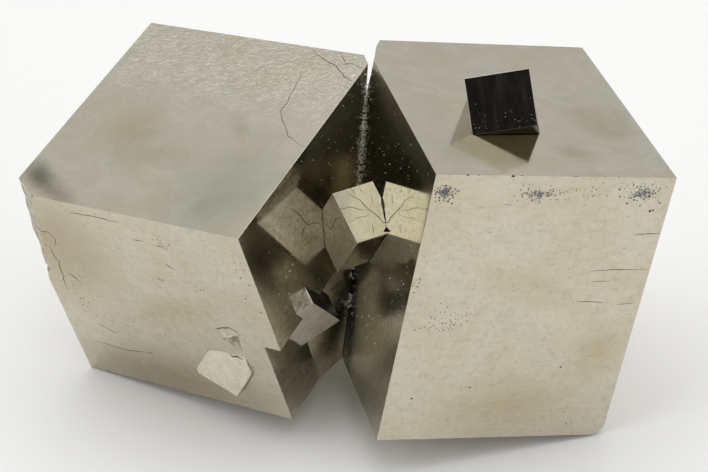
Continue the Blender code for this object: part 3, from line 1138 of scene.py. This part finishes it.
class PYRITE_OT_valley_cube(bpy.types.Operator):
    """Model the small bright cube high in the valley, with its crossing cracks"""

    bl_idname = "pyrite.valley_cube"
    bl_label = "Valley cube"

    def execute(self, context):
        sizes = context.scene.pyrite_sizes
        colours = context.scene.pyrite_colours
        size = sizes.valley_size
        place = (sizes.valley_place, sizes.valley_turn)
        placing = frame_of(*place)
        rng = random.Random(SEEDS["valley"])
        face = (colours.bright, colours.clouded, colours.stained)
        side = (colours.grey, colours.clean, colours.clean)
        fresh = crystal_face("pyrite_fresh_valley", *place, face, 0.22, lines=0.0004, grain=0.008,
                             stain=0.3, speck=0.3)
        veiled = crystal_face("pyrite_veiled_valley", *place, side, 0.34, lines=0.002, grain=0.01,
                              stain=0.7, speck=0.8)
        mirror = crystal_face("pyrite_mirror_valley", *place, face, 0.08, lines=0.0006,
                              grain=0.0008)
        dark = oxide("oxide_valley", colours.groove)
        cube = cube_about_middle("valley", size)
        dress_faces(cube, {"left": veiled, "right": veiled, "front": fresh, "back": veiled,
                           "base": mirror, "top": fresh}, fresh)
        wear_edges(cube, sizes.edge_wear)
        cutters = grooves("front", size, VALLEY_FRONT_CRACKS, dark, rng, 0.12)
        cutters += grooves("left", size, VALLEY_LEFT_CRACKS, dark, rng, 0.05)

        # The dark hairline where the cube meets the right cube's inner face, with a notch low down.
        right = placing.inverted() @ frame_of(sizes.right_place, sizes.right_turn)
        facing = right.to_3x3() @ FACES["left"]
        reach = facing.dot(right @ Vector((-sizes.right_size[0] / 2, 0.0, 0.0)))
        contact = []
        for height in VALLEY_CONTACT:
            across = (reach + facing.y * size[1] / 2 - facing.z * height) / facing.x
            contact.append((across, height))
        cutters.append(groove("front", size, (0.22, *contact), dark, rng, 0.08))
        (notch,) = on_face("front", size, contact[-1:])
        cutters.append(corner_print(notch, 0.46, 0.4, dark, 25.0))
        carve(cube, cutters)
        finish_piece(cube, "valley_bright_cube", placing, "valley_cube")
        return {"FINISHED"}


class PYRITE_OT_inner_cube(bpy.types.Operator):
    """Model the small cube low on the left cube's inner face"""

    bl_idname = "pyrite.inner_cube"
    bl_label = "Inner cube"

    def execute(self, context):
        sizes = context.scene.pyrite_sizes
        colours = context.scene.pyrite_colours
        place = (sizes.inner_place, sizes.inner_turn)
        placing = frame_of(*place)
        face = (colours.grey, colours.clean, colours.dull)
        satin = crystal_face("pyrite_satin_inner", *place, face, 0.32, lines=0.001, grain=0.004)
        streaked = crystal_face("pyrite_streaked_inner", *place, face, 0.20, spread=0.08,
                                lines=0.02, line_stretch=(3.0, 3.0, 0.5), grain=0.02)
        broken = broken_face("pyrite_fracture_inner", colours.grey)
        cube = inner_block("inner", sizes, 0.0)
        dress_faces(cube, {"left": broken, "right": satin, "front": satin, "back": streaked,
                           "base": satin, "top": satin}, satin)
        wear_edges(cube, sizes.edge_wear)
        finish_piece(cube, "inner_low_cube", placing, "inner_cube")
        return {"FINISHED"}


class PYRITE_OT_front_cube(bpy.types.Operator):
    """Model the small cube in the left cube's front, which shows one five-sided face"""

    bl_idname = "pyrite.front_cube"
    bl_label = "Front cube"

    def execute(self, context):
        sizes = context.scene.pyrite_sizes
        colours = context.scene.pyrite_colours
        placing = front_frame(sizes)
        rng = random.Random(SEEDS["front"])
        face = (colours.pale, colours.clean, colours.clean)
        fresh = crystal_face("pyrite_fresh_front", sizes.left_place, sizes.left_turn, face, 0.36,
                             lines=0.001, grain=0.03, patch=0.9, stain=0.3, speck=0.4)
        dark = oxide("oxide_front", colours.groove)
        cube = front_prism("front", 0.0)
        dress_faces(cube, {"top": fresh}, fresh)
        wear_edges(cube, sizes.edge_wear)
        carve(cube, [groove("top", (0.0, 0.0, 0.0), FRONT_NICK, dark, rng, 0.04)])
        finish_piece(cube, "front_five_sided_cube", placing, "front_cube")
        return {"FINISHED"}


class PYRITE_OT_stage(bpy.types.Operator):
    """Add the pale floor, the soft studio light and the camera"""

    bl_idname = "pyrite.stage"
    bl_label = "Stage"

    def execute(self, context):
        stage = context.scene.pyrite_stage
        colours = context.scene.pyrite_colours
        floor = added(bpy.ops.mesh.primitive_circle_add, vertices=96, radius=3.0,
                      fill_type="NGON")
        floor.name = "studio_floor"
        material, _, shader = new_material("studio_paper", 0.0, 0.6)
        shader.inputs["Base Color"].default_value = linear(colours.floor)
        shader.inputs["Specular IOR Level"].default_value = 0.2
        floor.data.materials.append(material)

        world = bpy.data.worlds.new("soft_studio")
        context.scene.world = world
        world.use_nodes = True
        tree = world.node_tree
        towards = add(tree, "TexCoord").outputs["Generated"]
        height = add(tree, "SeparateXYZ", {0: towards}).outputs["Z"]
        level = add(tree, "MapRange", {"Value": height, "From Max": 0.8, "To Min": stage.behind,
                                       "To Max": stage.behind * 1.1})
        for direction, inner, outer, strength in (
            ((-0.95, -0.25, 0.45), 22.0, 42.0, stage.sides),
            ((0.95, -0.20, 0.40), 18.0, 36.0, stage.sides),
            ((-0.12, -0.02, 1.0), 20.0, 36.0, stage.overhead),
            ((-0.20, -0.95, -0.04), 33.0, 53.0, stage.before),
            ((-0.20, -0.46, 0.86), 9.0, 17.0, stage.before / 4),
        ):
            facing = add(tree, "VectorMath", {0: towards, 1: Vector(direction).normalized()},
                         operation="DOT_PRODUCT")
            share = add(tree, "MapRange", {"Value": facing, "From Min": cos(radians(outer)),
                                           "From Max": cos(radians(inner))},
                        interpolation_type="SMOOTHSTEP")
            level = add(tree, "Mix", {"Factor": share, "A": level, "B": strength})
        background = tree.nodes["Background"]
        feed(tree, background, {"Strength": level})
        background.inputs["Color"].default_value = linear("FFFFFF")

        bpy.ops.object.camera_add(location=Vector(stage.camera_place) * MM,
                                  rotation=stage.camera_turn)
        camera = context.active_object
        camera.name = "camera"
        camera.data.lens = stage.lens
        camera.data.sensor_width = 36.0
        camera.data.clip_start = 0.005
        context.scene.camera = camera
        context.scene.view_settings.view_transform = "Standard"
        return {"FINISHED"}


class PYRITE_PT_panel(bpy.types.Panel):
    """Lists the sizes, colours and pieces of the specimen"""

    bl_label = "Pyrite specimen"
    bl_idname = "PYRITE_PT_panel"
    bl_space_type = "VIEW_3D"
    bl_region_type = "UI"
    bl_category = "Pyrite"

    def draw(self, context):
        layout = self.layout
        for group in (context.scene.pyrite_sizes, context.scene.pyrite_colours,
                      context.scene.pyrite_stage):
            for name in group.__annotations__:
                layout.prop(group, name)
        for operator in OPERATORS:
            layout.operator(operator.bl_idname)


OPERATORS = (
    PYRITE_OT_stage,
    PYRITE_OT_large_cube_left,
    PYRITE_OT_large_cube_right,
    PYRITE_OT_top_cube,
    PYRITE_OT_valley_cube,
    PYRITE_OT_inner_cube,
    PYRITE_OT_front_cube,
)
GROUPS = (PyriteSizes, PyriteColours, PyriteStage)


def register():
    """Register the classes and hang the properties on the scene."""
    for item in (*GROUPS, *OPERATORS, PYRITE_PT_panel):
        bpy.utils.register_class(item)
    bpy.types.Scene.pyrite_sizes = PointerProperty(type=PyriteSizes)
    bpy.types.Scene.pyrite_colours = PointerProperty(type=PyriteColours)
    bpy.types.Scene.pyrite_stage = PointerProperty(type=PyriteStage)


def unregister():
    """Take the properties and the classes away again."""
    del bpy.types.Scene.pyrite_stage
    del bpy.types.Scene.pyrite_colours
    del bpy.types.Scene.pyrite_sizes
    for item in (PYRITE_PT_panel, *reversed(OPERATORS), *reversed(GROUPS)):
        bpy.utils.unregister_class(item)


def main():
    """Model every piece in order."""
    register()
    bpy.ops.pyrite.stage()
    bpy.ops.pyrite.large_cube_left()
    bpy.ops.pyrite.large_cube_right()
    bpy.ops.pyrite.top_cube()
    bpy.ops.pyrite.valley_cube()
    bpy.ops.pyrite.inner_cube()
    bpy.ops.pyrite.front_cube()


if __name__ == "__main__":
    main()
